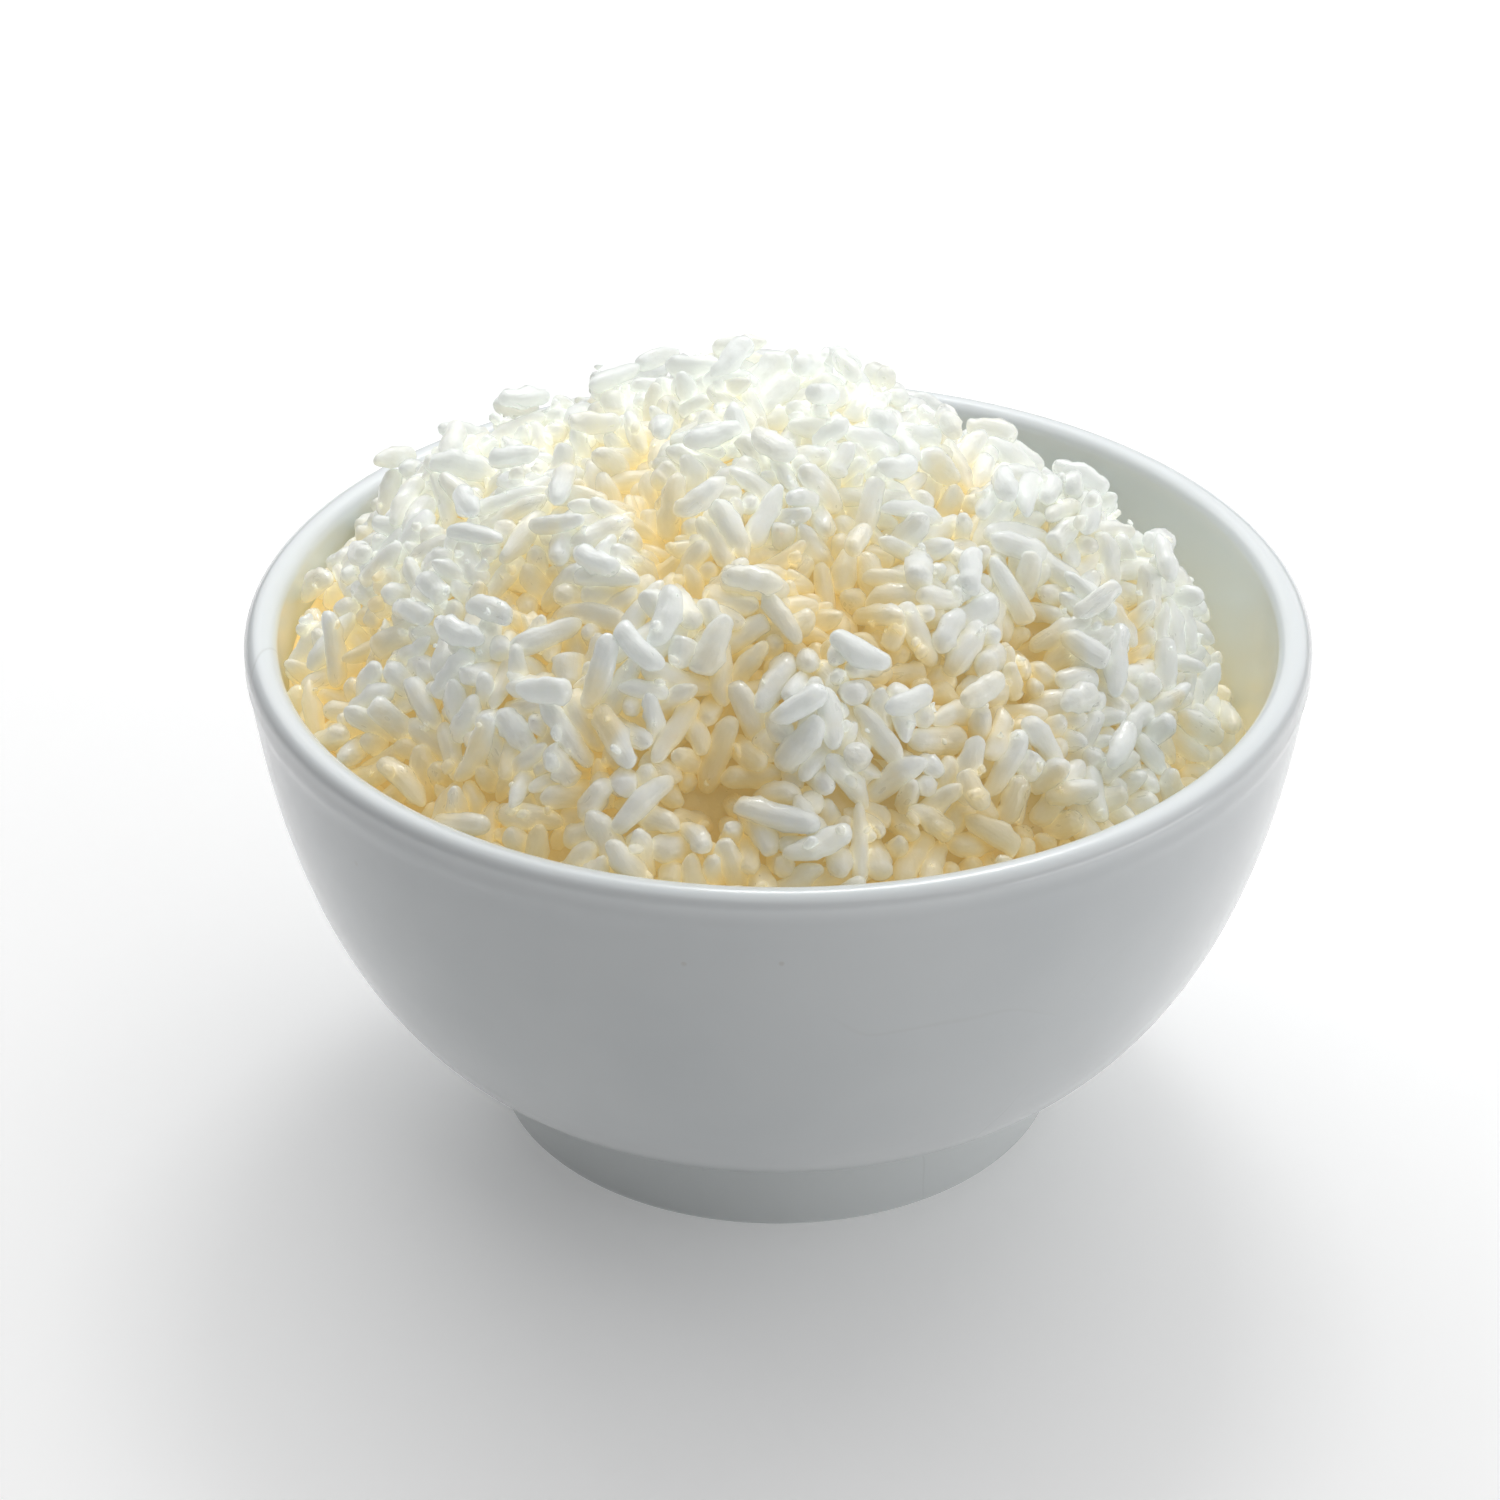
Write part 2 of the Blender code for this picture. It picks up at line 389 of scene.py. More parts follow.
class Surface:
    """A height over the grid, with its slope, read off between the cells."""

    def __init__(self, heights):
        self.heights = heights
        self.slopes = np.gradient(heights, grid_step)

    def read(self, field, x, y):
        u = np.clip((x + grid_reach) / grid_step - 0.5, 0, grid_cells - 1.001)
        v = np.clip((y + grid_reach) / grid_step - 0.5, 0, grid_cells - 1.001)
        i, j = u.astype(int), v.astype(int)
        u, v = u - i, v - j
        near = field[i, j] * (1 - v) + field[i, j + 1] * v
        far = field[i + 1, j] * (1 - v) + field[i + 1, j + 1] * v
        return near * (1 - u) + far * u

    def normals(self, x, y):
        slope_x = self.read(self.slopes[0], x, y)
        slope_y = self.read(self.slopes[1], x, y)
        return unit(np.stack([-slope_x, -slope_y, np.ones_like(x)], -1))

    def depths(self, points):
        """How far points lie under the surface, square to it."""
        x, y = points[..., 0], points[..., 1]
        return (self.read(self.heights, x, y) - points[..., 2]) * self.normals(x, y)[..., 2]


heap_top = Surface(plumbed_heights())
across, along = np.meshgrid(grid_line, grid_line, indexing="ij")


def loose_grain_lies():
    """Centre, axes, length and width of each loose grain, from its own solid."""
    lies = []
    for name in sorted(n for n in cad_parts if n.startswith("grain_")):
        corners = np.array([v.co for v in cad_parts[name].data.vertices], float)
        centre = (corners.min(0) + corners.max(0)) / 2
        axes = np.linalg.eigh(np.cov((corners - corners.mean(0)).T))[1]
        long, up = axes[:, 2], axes[:, 0]
        up = up * np.sign(up[2])
        sizes = [np.ptp(corners @ axis) for axis in (long, np.cross(up, long), up)]
        lies.append((name, centre, long, up, sizes))
    return lies


loose_lies = loose_grain_lies()

# Hollows the spoon left, and where steam opened the heap: x, y, reach in x, reach in y and
# depth, in millimetres
hollows = (
    (-22, -10, 5.0, 4.5, 5.2),
    (-29, -26, 3.0, 5.0, 3.6),
    (-14, -16, 3.0, 5.0, 3.6),
    (2, -24, 6.0, 3.5, 4.4),
    (13, -35, 9.0, 3.5, 4.2),
    (-8, -49, 4.0, 4.5, 4.0),
    (-20, -44, 2.5, 3.0, 4.2),
    (31, -43, 5.5, 3.0, 3.6),
    (40, -12, 5.0, 4.0, 3.4),
    (-50, -18, 5.5, 4.5, 2.2),
    (-41, -42, 3.5, 3.0, 3.2),
    (20, -50, 4.5, 3.0, 3.2),
    (24, 4, 4.0, 5.0, 3.0),
    (-6, 22, 6.0, 4.0, 4.0),
    (28, 30, 5.0, 4.0, 3.6),
    (-34, 27, 4.5, 5.0, 3.6),
    (-14, 42, 5.0, 4.0, 3.4),
)
# Clumps that cling together and stand proud: x, y, reach and rise, in millimetres
clumps = (
    (-37, -13, 6.0, 1.6),
    (-40, 10, 6.0, 1.0),
    (0, -15, 6.5, 1.4),
    (16, -23, 4.5, 1.4),
    (-37, -36, 5.0, 1.4),
    (-18, -39, 4.5, 1.2),
    (-2, -38, 4.5, 1.4),
    (13, -46, 5.0, 1.2),
    (30, -35, 5.5, 1.2),
    (47, -21, 4.5, 0.8),
)


def clump_relief():
    """How far the rice lies under the heap's outline, by hollows, crevices and unevenness."""
    clod_count, crevice_depth, crevice_width = 90, 0.0026, 0.0022
    wave_count, unevenness = 28, 0.0015
    grain_room = 0.0032  # round a loose grain, where the heap stays whole
    draw = np.random.default_rng(41)
    middles = draw.uniform(-rim_radius, rim_radius, (clod_count, 2))
    sizes = draw.uniform(0.85, 1.15, clod_count)
    away_x = across[..., None] - middles[:, 0]
    away_y = along[..., None] - middles[:, 1]
    away = np.sort(np.sqrt(away_x**2 + away_y**2) * sizes, axis=-1)
    border = away[..., 1] - away[..., 0]
    crevices = crevice_depth * np.exp(-((border / crevice_width) ** 2))
    swell = np.zeros_like(across)
    for _ in range(wave_count):
        wave = math.tau / draw.uniform(0.008, 0.022)
        turn, phase = draw.uniform(0, math.tau, 2)
        swell += np.cos(wave * (across * math.cos(turn) + along * math.sin(turn)) + phase)
    swell = swell / math.sqrt(wave_count / 2)
    fall = crevices * np.clip(0.6 + 0.5 * swell, 0, 1.4)
    fall = fall + unevenness * np.clip(swell + 0.4, -0.3, 2.2)
    for x, y, wide, high, depth in hollows:
        far = ((across * 1000 - x) / wide) ** 2 + ((along * 1000 - y) / high) ** 2
        fall += 1.25 * depth / 1000 * np.exp(-(far**1.5))
    for x, y, reach, rise in clumps:
        far = ((across * 1000 - x) ** 2 + (along * 1000 - y) ** 2) / reach**2
        fall -= 1.4 * rise / 1000 * np.exp(-far)
    for _, centre, _, _, _ in loose_lies:
        near = (across - centre[0]) ** 2 + (along - centre[1]) ** 2
        fall *= 1 - 0.85 * np.exp(-near / (2 * grain_room**2))
    return fall


rice_top = Surface(heap_top.heights - clump_relief())


# Grains
# Each grain swelled in the water to about 8 mm by 3 mm, blunt, a little bowed and flattened.
# Most have a shallow crease, many the notch where the germ was, and some broke in the pot.

draw = np.random.default_rng(7)
beads_per_grain = 4


def grain_sizes(count):
    """Length, width and thickness of so many grains."""
    length = np.clip(draw.normal(0.0084, 0.0012, count), 0.0056, 0.0106)
    broken = draw.random(count) < 0.09
    length = np.where(broken, length * draw.uniform(0.5, 0.8, count), length)
    width = np.clip(draw.normal(0.00312, 0.00032, count), 0.0025, 0.0038)
    return length, width, width * draw.uniform(0.78, 0.96, count), broken


def sown_places(top, shell, density):
    """Random places in the shell under the rice's top, inside the bowl, so many per cubic metre."""
    steep = 1 / top.normals(across, along)[..., 2]
    inside = across**2 + along**2 < (rim_radius - 0.006) ** 2
    area = (steep * inside).sum() * grid_step**2
    count = int(area * shell * density)
    cells = draw.choice(steep.size, count, p=(steep * inside).ravel() / (steep * inside).sum())
    x = across.ravel()[cells] + draw.uniform(-0.5, 0.5, count) * grid_step
    y = along.ravel()[cells] + draw.uniform(-0.5, 0.5, count) * grid_step
    facing = top.normals(x, y)
    skin = np.stack([x, y, top.read(top.heights, x, y)], -1)
    places = skin - facing * draw.uniform(0.0012, shell, count)[:, None]
    room = wall_radius(places[:, 2], inner_wall) - np.hypot(places[:, 0], places[:, 1])
    return places[room > 0.0005]


def near_pairs(points, reach):
    """Pairs of points closer than reach, each once, found by sorting them into cubes."""
    cubes = np.floor((points - points.min(0)) / reach).astype(np.int64) + 1
    wide = cubes.max(0) + 2
    keys = (cubes[:, 0] * wide[1] + cubes[:, 1]) * wide[2] + cubes[:, 2]
    order = np.argsort(keys, kind="stable")
    ranked = keys[order]
    firsts, seconds = [], []
    for step in np.ndindex(3, 3, 3):
        shift = ((step[0] - 1) * wide[1] + step[1] - 1) * wide[2] + step[2] - 1
        if shift < 0:
            continue
        low = np.searchsorted(ranked, keys + shift, "left")
        counts = np.searchsorted(ranked, keys + shift, "right") - low
        first = np.repeat(np.arange(len(points)), counts)
        within = np.arange(counts.sum()) - np.repeat(np.cumsum(counts) - counts, counts)
        second = order[np.repeat(low, counts) + within]
        keep = np.linalg.norm(points[first] - points[second], axis=1) < reach
        if shift == 0:
            keep &= first < second
        firsts.append(first[keep])
        seconds.append(second[keep])
    return np.concatenate(firsts), np.concatenate(seconds)


def settled(centres, axes, sizes, fixed, top, rounds):
    """Pushes the grains apart, back under the rice's top and off the wall, until they lie close.

    A grain is a row of beads. fixed grains push the others and stay where they are.
    """
    length, width, thick, _ = sizes
    radius = (width + thick) / 4
    clinging = 0.86  # sticky grains press into one another
    near, wall_gap, level_step, tiny = 0.0044, 0.0001, 0.0005, 1e-9
    press, stride, swing = 0.8, 1.5, 0.8  # how fast a round presses, shifts and turns the grains
    reach = np.linspace(-1, 1, beads_per_grain)
    along_grain = reach * (length / 2 - radius)[:, None]
    bead_radius = np.repeat(radius * clinging, beads_per_grain)
    owner = np.repeat(np.arange(len(centres)), beads_per_grain)
    held = np.repeat(fixed, beads_per_grain)
    # A few grains stand well out of the top, and some a little.
    luck = draw.random(len(centres))
    poke = np.select([luck < 0.09, luck < 0.34], [0.0026, 0.0015], 0.0)
    poke = np.repeat(poke, beads_per_grain)
    for step in range(rounds):
        beads = (centres[:, None] + axes[:, None] * along_grain[..., None]).reshape(-1, 3)
        if step % 5 == 0:
            first, second = near_pairs(beads, near)
            other = (owner[first] != owner[second]) & ~(held[first] & held[second])
            first, second = first[other], second[other]
        apart = beads[first] - beads[second]
        distance = np.linalg.norm(apart, axis=1) + tiny
        overlap = bead_radius[first] + bead_radius[second] - distance
        close = overlap > 0
        one, two = first[close], second[close]
        push = apart[close] * (overlap[close] / distance[close])[:, None] * 0.5
        count = len(beads)
        sums = [np.bincount(one, p, count) - np.bincount(two, p, count) for p in push.T]
        moves = np.stack(sums, -1)
        facing = top.normals(beads[:, 0], beads[:, 1])
        out = bead_radius - poke - top.depths(beads)
        moves -= facing * np.clip(out, 0, None)[:, None] * press
        across_bowl = np.hypot(beads[:, 0], beads[:, 1]) + tiny
        z = np.minimum(beads[:, 2], bowl_height - 0.0015)
        above = wall_radius(z + level_step, inner_wall)
        below = wall_radius(z - level_step, inner_wall)
        climb = (above - below) / (2 * level_step)
        lean = 1 / np.sqrt(1 + climb**2)
        into_wall = bead_radius + wall_gap - (wall_radius(z, inner_wall) - across_bowl) * lean
        inward = np.stack([-beads[:, 0] / across_bowl, -beads[:, 1] / across_bowl, climb], -1)
        moves += inward * (np.clip(into_wall, 0, None) * lean)[:, None]
        moves[held] = 0
        moves = moves.reshape(-1, beads_per_grain, 3)
        centres = centres + moves.mean(1) * stride
        arms = axes[:, None] * along_grain[..., None]
        turn = np.cross(arms, moves).sum(1) / ((along_grain**2).sum(1) + tiny)[:, None]
        axes = unit(axes + np.cross(turn, axes) * swing)
    return centres, axes


def packed_rice():
    """The rice's outer shell, a few grains deep: centres, axes and sizes, loose grains first."""
    shell, grains_per_cubic_metre = 0.0088, 2.15e7
    spread_of_rise, steepest_rise = math.radians(38), 1.35
    rounds = 90
    places = sown_places(rice_top, shell, grains_per_cubic_metre)
    count = len(places)
    facing = rice_top.normals(places[:, 0], places[:, 1])
    flat = unit(np.cross(facing, draw.normal(size=(count, 3))))
    rise = np.clip(draw.normal(0, spread_of_rise, count), -steepest_rise, steepest_rise)
    axes = flat * np.cos(rise)[:, None] + facing * np.sin(rise)[:, None]
    sizes = grain_sizes(count)
    loose = len(loose_lies)
    loose_sizes = np.array([lie[4] for lie in loose_lies])
    centres = np.concatenate([[lie[1] for lie in loose_lies], places])
    axes = np.concatenate([[lie[2] for lie in loose_lies], axes])
    broken = np.concatenate([np.zeros(loose, bool), sizes[3]])
    sizes = [np.concatenate([loose_sizes[:, k], sizes[k]]) for k in range(3)] + [broken]
    fixed = np.arange(len(centres)) < loose
    centres, axes = settled(centres, axes, sizes, fixed, rice_top, rounds)
    return centres, axes, sizes, fixed


def pressed_back(x, face):
    """x held back at a face, with a rounded shoulder instead of a sharp edge."""
    shoulder, bulge = 0.0003, 0.10
    past = np.clip((x - face) / shoulder, -30, 30)
    rounding = shoulder * np.log1p(np.exp(-np.abs(past)))
    return np.minimum(x, face) - rounding + bulge * np.clip(x - face, 0, None)


def grain_skins(centres, axes, ups, sizes, rings, sides):
    """The grains' surfaces: points in the bowl, and the same points as each grain sees them."""
    length, width, thick, broken = (np.asarray(s)[:, None, None] for s in sizes)
    count = len(centres)

    def each(low, high):
        """A number between low and high for each grain."""
        return draw.uniform(low, high, (count, 1, 1))

    # t runs from -1 at one end of a grain to 1 at the other. Each end has its own bluntness.
    t = -np.cos(np.linspace(0, math.pi, rings + 2))[None, :, None]
    turn = np.linspace(0, math.tau, sides, endpoint=False)[None, None, :]
    blunt = np.where(t < 0, each(2.0, 3.7), each(2.0, 3.7))
    full = np.where(t < 0, each(0.45, 0.58), each(0.45, 0.58))
    girth = np.clip(1 - np.abs(t) ** blunt, 0, 1) ** full
    # Taper, waists, bends and dents, from the broadest to the finest
    girth = girth * (1 - each(-0.20, 0.22) * t)
    girth = girth * (1 + 0.08 * np.sin(each(1.5, 4.0) * math.pi * t + each(0, math.tau)))
    wave = 0.12 * np.sin(each(3, 8) * t + each(0, math.tau))
    girth = girth * (1 + wave * np.cos(turn + each(0, math.tau)))
    wave = 0.07 * np.sin(each(6, 15) * t + each(0, math.tau))
    girth = girth * (1 + wave * np.cos(3 * turn + each(0, math.tau)))
    girth = girth * (1 + each(0, 0.07) * np.cos(2 * turn + each(0, math.tau)))
    # The shallow crease along one side, and the notch where the germ was
    crease = (turn - each(0, math.tau) + math.pi) % math.tau - math.pi
    girth = girth * (1 - each(-0.10, 0.20).clip(0) * np.exp(-((crease / 0.40) ** 2)) * (1 - t**4))
    germ = (turn - each(0, math.tau) + math.pi) % math.tau - math.pi
    notch = np.exp(-(((t - 0.74) / 0.2) ** 2)) * np.exp(-((germ / 0.75) ** 2))
    girth = girth * (1 - each(-0.2, 0.34).clip(0) * notch)

    bow = each(-0.0001, 0.0007)
    x = t * length / 2 + 0 * turn
    y = girth * np.cos(turn) * width / 2
    z = girth * np.sin(turn) * thick / 2
    # Flats where neighbours pressed into the soft skin
    neighbours = 5
    for _ in range(neighbours):
        facing = each(0, math.tau)
        lean = each(-0.14, 0.14)
        out = x * lean + y * np.cos(facing) + z * np.sin(facing)
        past = (out - each(0.66, 1.05) * width / 2).clip(0) * 0.75
        y = y - past * np.cos(facing)
        z = z - past * np.sin(facing)
    # Where the end snapped or was pressed square, it stops at a slightly tilted face.
    never = 1.2  # a face past the grain's tip, which cuts nothing
    squared = each(0, 1) < 0.42
    snapped = each(0.30, 0.80)
    face = np.where(broken, snapped, np.where(squared, each(0.84, 0.96), never)) * length / 2
    face = face + each(-0.26, 0.26) * y + each(-0.26, 0.26) * z
    x = pressed_back(x, face)
    squared = each(0, 1) < 0.25
    face = np.where(squared, each(0.84, 0.96), never) * length / 2
    face = face + each(-0.22, 0.22) * y + each(-0.22, 0.22) * z
    x = -pressed_back(-x, face)
    y = y + bow * (1 - t**2) - bow * 0.6
    own = np.stack([x, y, z], -1)
    # One point at each tip, and a ring of points at each place between
    parts = own[:, :1, :1], own[:, 1:-1], own[:, -1:, :1]
    own = np.concatenate([part.reshape(count, -1, 3) for part in parts], axis=1)
    own[:, 0, 1:] = own[:, 1 : 1 + sides, 1:].mean(1)
    own[:, -1, 1:] = own[:, -1 - sides : -1, 1:].mean(1)
    side = np.cross(ups, axes)
    turned_axes = np.stack([axes, side, ups], 1)
    return centres[:, None] + own @ turned_axes, own


def skin_faces(rings, sides):
    """Corners of one grain's faces: triangles round both ends, and quads between the rings."""
    triangles, quads = [], []
    last = rings * sides + 1
    for s in range(sides):
        n = (s + 1) % sides
        triangles.append((0, 1 + n, 1 + s))
        triangles.append((last, last - sides + s, last - sides + n))
        for r in range(rings - 1):
            low = 1 + r * sides
            quads.append((low + s, low + n, low + sides + n, low + sides + s))
    return np.array(triangles), np.array(quads)


def mark_vectors(mesh, name, values):
    """Leaves a vector on each point of a mesh for its finish to read."""
    layer = mesh.attributes.new(name, "FLOAT_VECTOR", "POINT")
    layer.data.foreach_set("vector", values.astype(np.float32).ravel())


def grain_piece(name, groups, lift=0.0):
    """One mesh from groups of grains, each group with its own fineness.

    lift is added to the thinness, for grains that lie free in the light.
    """
    apart = 0.8  # how far a grain's own streaks are from the next one's
    points, own, whims, corners, starts = [], [], [], [], []
    point_count = corner_count = 0
    for centres, axes, ups, sizes, rings, sides in groups:
        skins, seen = grain_skins(centres, axes, ups, sizes, rings, sides)
        points_each = skins.shape[1]
        base = point_count + np.arange(len(centres))[:, None, None] * points_each
        for faces in skin_faces(rings, sides):
            numbered = (base + faces[None]).reshape(-1, faces.shape[1])
            corners.append(numbered.ravel())
            starts.append(corner_count + np.arange(len(numbered)) * faces.shape[1])
            corner_count += numbered.size
        whim = draw.random((len(centres), 3))
        points.append(skins.reshape(-1, 3))
        own.append((seen + whim[:, None] * apart).reshape(-1, 3))
        whims.append(np.repeat(whim[:, 0], points_each))
        point_count += len(centres) * points_each
    points, own, whims = np.concatenate(points), np.concatenate(own), np.concatenate(whims)
    corners, starts = np.concatenate(corners), np.concatenate(starts)
    mesh = bpy.data.meshes.new(name)
    mesh.vertices.add(len(points))
    mesh.vertices.foreach_set("co", points.astype(np.float32).ravel())
    mesh.loops.add(len(corners))
    mesh.loops.foreach_set("vertex_index", corners.astype(np.int32))
    mesh.polygons.add(len(starts))
    mesh.polygons.foreach_set("loop_start", starts.astype(np.int32))
    mesh.update(calc_edges=True)
    mesh.validate()
    mesh.shade_smooth()
    mark(mesh, "warmth", shade_and_glow_at(points))
    mark(mesh, "thinness", thinness_at(points) + lift)
    mark(mesh, "whim", whims)
    mark_vectors(mesh, "grain", own)
    return placed(name, mesh)


# Light comes through most at the crown and round the sides, and least in the thick heart of the
# front slope, where the painted shade is warmest. Places and reaches are x and y.
rolling = smoothed(rice_top.heights, 0.008)
crown_foot, crown_rise = 0.006, 0.034  # from so far under the lip, over so much height
front_middle, front_reach = (0.005, -0.032), (0.090, 0.055)
back_start, back_fade = 0.012, 0.028
heart_middle, heart_reach = (-0.003, -0.034), (0.030, 0.012)
full_depth, full_hollow = 0.0042, 0.0032


def crown_share(points):
    """0 down at the lip, 1 at the crown of the heap."""
    return np.clip((points[:, 2] - bowl_height + crown_foot) / crown_rise, 0, 1)


def outer_share(points):
    """0 in the middle of the front, 1 out at the sides and back."""
    x = (points[:, 0] - front_middle[0]) / front_reach[0]
    y = (points[:, 1] - front_middle[1]) / front_reach[1]
    return np.clip(np.hypot(x, y), 0, 1)


def thinness_at(points):
    """How little rice the light passes on its way to a place, eased off on the window's side."""
    facing_window = np.clip((points[:, 1] - back_start) / back_fade, 0, 1)
    passing = 1.10 * crown_share(points) ** 3 + 1.15 * outer_share(points) ** 2
    return passing * (1 - 0.88 * facing_window)


def shade_and_glow_at(points):
    """Painted shade and glow: 0 on a proud clump, 1 deep in a hollow, where the rice is painted
    darker, warmer and more amber.
    """
    x, y = points[:, 0], points[:, 1]
    under = np.clip(rice_top.depths(points) / full_depth, -0.2, 1.1)
    hollow = (rice_top.read(rolling, x, y) - rice_top.read(rice_top.heights, x, y)) / full_hollow
    for place_x, place_y, wide, high, depth in hollows:
        far = ((x * 1000 - place_x) / wide) ** 2 + ((y * 1000 - place_y) / high) ** 2
        hollow += 0.16 * depth * np.exp(-far / 4.5)
    far_x = (x - heart_middle[0]) / heart_reach[0]
    far_y = (y - heart_middle[1]) / heart_reach[1]
    heart = np.exp(-(far_x**2) - far_y**2)
    warmth = np.clip(0.07 + 0.46 * under + 0.44 * np.clip(hollow, -0.4, 1.2) + 0.26 * heart, 0, 1)
    return warmth * (1 - 0.50 * crown_share(points) ** 3 - 0.40 * outer_share(points) ** 2)


centres, axes, sizes, fixed = packed_rice()
facing = rice_top.normals(centres[:, 0], centres[:, 1]) + draw.normal(0, 0.5, centres.shape)
ups = unit(np.cross(axes, np.cross(facing, axes)))
sizes = [np.asarray(s) for s in sizes]

# Grains are finest where they show. Under the third layer the pressed rice takes over.
top_layer, middle_layer, deep_layer = 0.0042, 0.0070, 0.0085
sunk = rice_top.depths(centres)
wall_there = wall_radius(np.minimum(centres[:, 2], bowl_height), inner_wall)
inside = wall_there - np.hypot(centres[:, 0], centres[:, 1])
kept = ~fixed & (inside > 0.0006) & (sunk < deep_layer)


def chosen(mask, rings, sides):
    return centres[mask], axes[mask], ups[mask], [s[mask] for s in sizes], rings, sides


# Bits of broken grain and flecks of starch stuck to the skins of the outer grains
crumb_count = 620
outermost = 0.0024
bearers = draw.choice(np.flatnonzero(kept & (sunk < outermost)), crumb_count)
aside = np.cross(ups[bearers], axes[bearers])
lean = draw.uniform(-1.1, 1.1, (crumb_count, 1))
seats = (
    centres[bearers]
    + axes[bearers] * (draw.uniform(-0.42, 0.42, crumb_count) * sizes[0][bearers])[:, None]
    + (ups[bearers] * np.cos(lean) + aside * np.sin(lean)) * (sizes[2][bearers] * 0.47)[:, None]
)
crumb_axes = unit(draw.normal(size=(crumb_count, 3)))
crumb_ups = unit(np.cross(crumb_axes, draw.normal(size=(crumb_count, 3))))
crumb_length = 0.0009 + 0.0019 * draw.random(crumb_count) ** 1.6
crumb_width = crumb_length * draw.uniform(0.5, 0.9, crumb_count)
crumb_sizes = [crumb_length, crumb_width, crumb_width * 0.7, draw.random(crumb_count) < 0.6]

rice_pieces = []
bearing = np.arctan2(centres[:, 1], centres[:, 0]) % math.tau
quarter = np.floor(bearing / (math.pi / 2)).astype(int)
for q, place in enumerate(("right_back", "left_back", "left_front", "right_front")):
    here = kept & (quarter == q)
    top = here & (sunk < top_layer)
    middle = here & (sunk >= top_layer) & (sunk < middle_layer)
    deep = here & (sunk >= middle_layer)
    stuck = quarter[bearers] == q
    stuck_sizes = [s[stuck] for s in crumb_sizes]
    crumbs = (seats[stuck], crumb_axes[stuck], crumb_ups[stuck], stuck_sizes, 6, 8)
    groups = [chosen(top, 13, 13), chosen(middle, 8, 8), chosen(deep, 6, 6), crumbs]
    rice_pieces.append(grain_piece(f"rice_{place}", groups))
for piece in rice_pieces:
    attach(piece, "root")
    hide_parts("rice_heap")


# Loose grains
# A few dozen grains fell on the heap last and lie free on top of it. Each takes its place,
# its direction and its size from its own solid.

for name, centre, long, up, measures in loose_lies:
    one_size = [np.array([m]) for m in measures] + [np.array([False])]
    group = (centre[None], long[None], up[None], one_size, 16, 14)
    piece = grain_piece(f"loose_{name}", [group], lift=0.25)
    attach(piece, "root")
    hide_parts(name)
    rice_pieces.append(piece)


# Rice in the bowl
# Under the grains that can be told apart, the rice is pressed into one sticky mass that fills
# the bowl down to its floor.


def pressed_rice(depth):
    """A ball whose lower half follows the bowl and whose upper half lies depth under the top."""
    wall_gap, floor_gap, lump_height = 0.0006, 0.0005, 0.0008
    edge_fall = 18  # how sharply the mass drops just before it meets the wall
    bm = bmesh.new()
    bmesh.ops.create_uvsphere(bm, u_segments=200, v_segments=130, radius=1)
    face = (inner_wall[0] - wall_gap, inner_wall[1] + floor_gap)
    for vert in bm.verts:
        angle = math.atan2(vert.co.y, vert.co.x)
        latitude = math.asin(max(-1, min(1, vert.co.z)))
        brim = np.array([rim_radius - 0.009])
        brim_x, brim_y = brim * math.cos(angle), brim * math.sin(angle)
        level = float(heap_top.read(heap_top.heights, brim_x, brim_y)[0])
        level = min(level, bowl_height) - depth
        radius = float(wall_radius(level, face)) * math.cos(latitude)
        x, y = radius * math.cos(angle), radius * math.sin(angle)
        if latitude > 0.001:
            top = rice_top.read(rice_top.heights, np.array([x]), np.array([y]))[0] - depth
            lump = math.sin(x * 1900 + 3 * math.sin(y * 700))
            lump *= math.sin(y * 1700 + 2 * math.sin(x * 900))
            drop = 1 - math.cos(latitude) ** edge_fall
            z = level + (top + lump_height * lump - level) * drop
        else:
            z = wall_height(min(radius, float(wall_radius(level, face))), face)
        vert.co = (x, y, z)
    mesh = bpy.data.meshes.new("pressed_rice")
    bm.to_mesh(mesh)
    bm.free()
    mesh.shade_smooth()
    points = np.array([v.co for v in mesh.vertices])
    # The pressed mass takes the deepest painted shade and the strongest amber painted glow.
    mark(mesh, "warmth", np.ones(len(points)))
    mark(mesh, "thinness", thinness_at(points))
    mark(mesh, "whim", np.full(len(points), 0.5))
    mark_vectors(mesh, "grain", points)
    return placed("pressed_rice", mesh)


pressed = pressed_rice(0.0064)
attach(pressed, "root")
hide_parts("rice_heap")
rice_pieces.append(pressed)
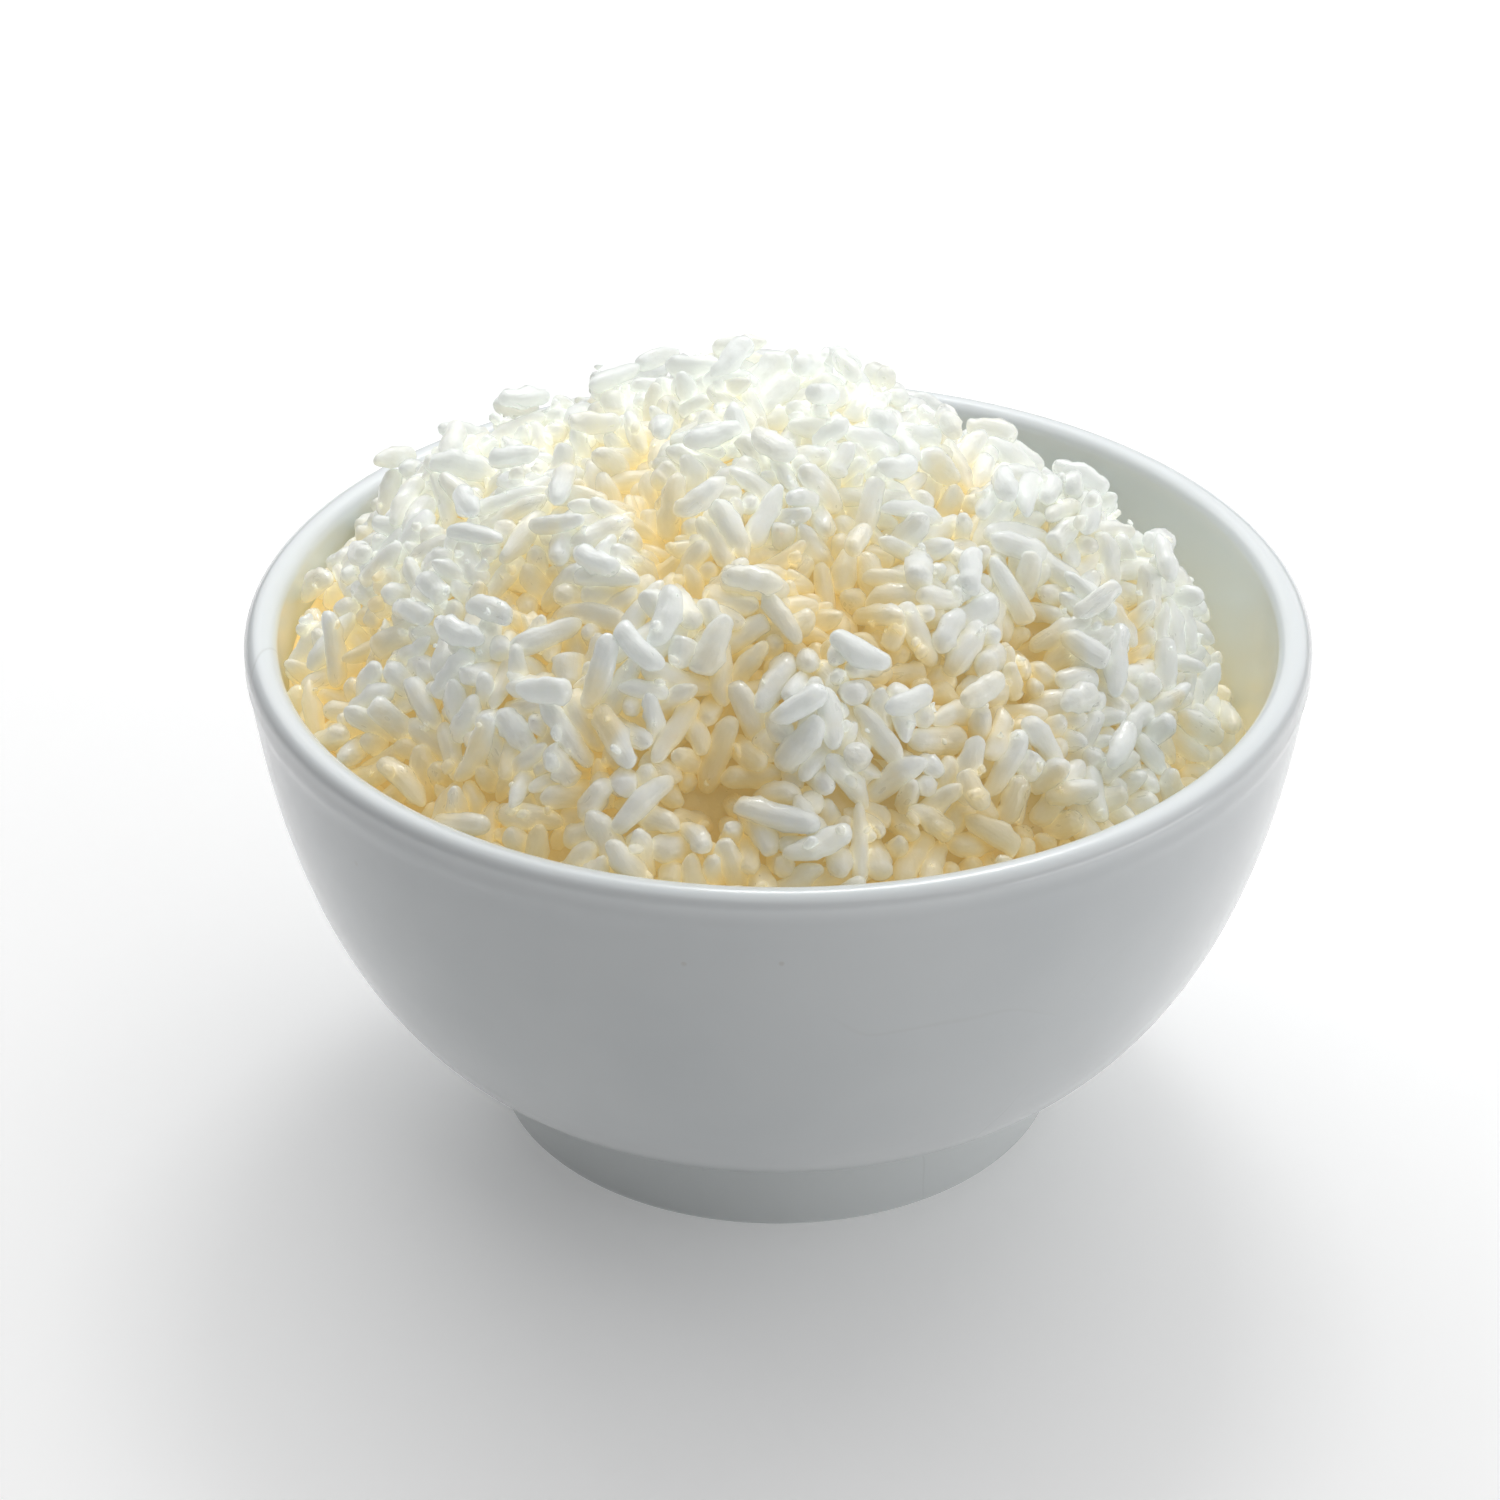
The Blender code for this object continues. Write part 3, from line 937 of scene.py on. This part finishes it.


# Rice finish
# Cooked rice is starch swollen with water: milky and translucent, wet on its skin. Its colour is
# cool white where light falls on it; deep in hollows and between grains it is painted darker and
# warmer as painted shade, with an amber painted glow where light has passed through many grains.


def rice_finish():
    rice = Finish(
        "cooked_rice",
        Subsurface_Weight=0.45,
        Subsurface_Radius=(1.0, 0.93, 0.76),
        Subsurface_Scale=0.0020,
        IOR=1.40,
        Transmission_Weight=0.14,
        Coat_Roughness=0.10,
        Coat_IOR=1.50,
        Sheen_Weight=0.45,
        Sheen_Roughness=0.35,
        Emission_Strength=0.19,
    )
    rice.shader.subsurface_method = "BURLEY"
    own = rice.marks("grain", "Vector")
    whim = rice.marks("whim")
    warmth = rice.marks("warmth")
    milk = rice.cloud(own, 420, detail=3)
    streaks = rice.cloud(rice.stretched(own, (220, 1500, 1500)), 1, detail=3)

    seen = warmth + 0.16 * (whim - 0.5) + 0.25 * (milk - 0.5)
    # Deeper and hollower places are painted darker and warmer, as painted shade.
    lit_white_to_painted_shade = (
        (0.0, (0.900, 0.925, 0.910, 1)),
        (0.16, (0.895, 0.892, 0.810, 1)),
        (0.40, (0.850, 0.785, 0.595, 1)),
        (0.70, (0.745, 0.655, 0.430, 1)),
        (1.0, (0.620, 0.480, 0.250, 1)),
    )
    skin = rice.node("ShaderNodeValToRGB", {"stops": lit_white_to_painted_shade}, {0: seen})
    # Stands in for light that has passed through many grains
    dim_to_amber = (
        (0.0, (0.21, 0.22, 0.21, 1)),
        (0.20, (0.24, 0.228, 0.175, 1)),
        (0.50, (0.39, 0.330, 0.175, 1)),
        (1.0, (0.60, 0.46, 0.18, 1)),
    )
    passed_light = rice.node("ShaderNodeValToRGB", {"stops": dim_to_amber}, {0: seen})
    passed_light = rice.node(
        "ShaderNodeVectorMath",
        {"operation": "SCALE"},
        {0: passed_light, "Scale": 1.06 + 2.1 * rice.marks("thinness")},
    )

    wet = rice.eased(rice.cloud(own, 240, detail=2), 0.4, 0.65)
    rough = 0.40 - 0.16 * wet + 0.08 * streaks
    folds = rice.relief(streaks, 0.00015)
    pits = rice.cloud(own, 1000, detail=4, roughness=0.6)
    folds = rice.relief(pits, 0.00010, under=folds)
    rice.feed(
        Base_Color=skin,
        Emission_Color=passed_light,
        Roughness=rough,
        Coat_Weight=0.30 + 0.55 * wet,
        Normal=folds,
    )
    return rice.material


rice_material = rice_finish()
for piece in rice_pieces:
    piece.data.materials.append(rice_material)


# Table and light
# A plain pale table, lit as a white sweep. A large soft window stands behind and above, with
# a small lamp in front of it for the highlights, a wide panel overhead and a low light on the
# right.

scene = bpy.context.scene
scene.view_settings.view_transform = "Standard"

reach = 12
table_corners = [(-reach, -reach, 0), (reach, -reach, 0), (reach, reach, 0), (-reach, reach, 0)]
table_mesh = bpy.data.meshes.new("table")
table_mesh.from_pydata(table_corners, [], [(0, 1, 2, 3)])
table = placed("table", table_mesh)
tabletop = Finish(
    "pale_table",
    Roughness=0.6,
    Base_Color=(0.94, 0.94, 0.94, 1),
    Emission_Color=(1, 1, 1, 1),
    Emission_Strength=0.16,
)
table_mesh.materials.append(tabletop.material)


def soft_light(name, place, aim, wide, high, power):
    lamp = bpy.data.lights.new(name, "AREA")
    lamp.shape = "RECTANGLE"
    lamp.size, lamp.size_y, lamp.energy = wide, high, power
    light = placed(name, lamp)
    light.location = place
    light.rotation_euler = (Vector(aim) - Vector(place)).to_track_quat("-Z", "Y").to_euler()
    light.visible_camera = False


soft_light("window", (0.12, 0.90, 0.80), (0, 0, 0.07), 1.8, 1.2, 7.3)
soft_light("lamp", (0.10, 0.70, 0.95), (0, 0, 0.07), 0.30, 0.22, 1.7)
soft_light("ceiling", (0.15, 0.25, 1.30), (0, 0.1, 0.0), 4.0, 1.8, 18.0)
soft_light("room", (1.90, -0.80, 0.20), (0, 0, 0.01), 1.8, 0.4, 7.6)

world = bpy.data.worlds.new("room_air")
scene.world = world
world.use_nodes = True
room_glow = world.node_tree.nodes["Background"]
room_glow.inputs["Color"].default_value = (1, 1, 1, 1)
room_glow.inputs["Strength"].default_value = 0.115


# Camera
# It stands in front and looks down on the heap at 31 degrees.

look_down = math.radians(30.97)
camera_data = bpy.data.cameras.new("camera")
camera_data.lens = 105.2
camera_data.sensor_width = 36
camera_data.clip_start = 0.01
camera = placed("camera", camera_data)
camera.location = (-0.0034, -0.4677, 0.3276)
camera.rotation_euler = (math.pi / 2 - look_down, 0, 0)
scene.camera = camera
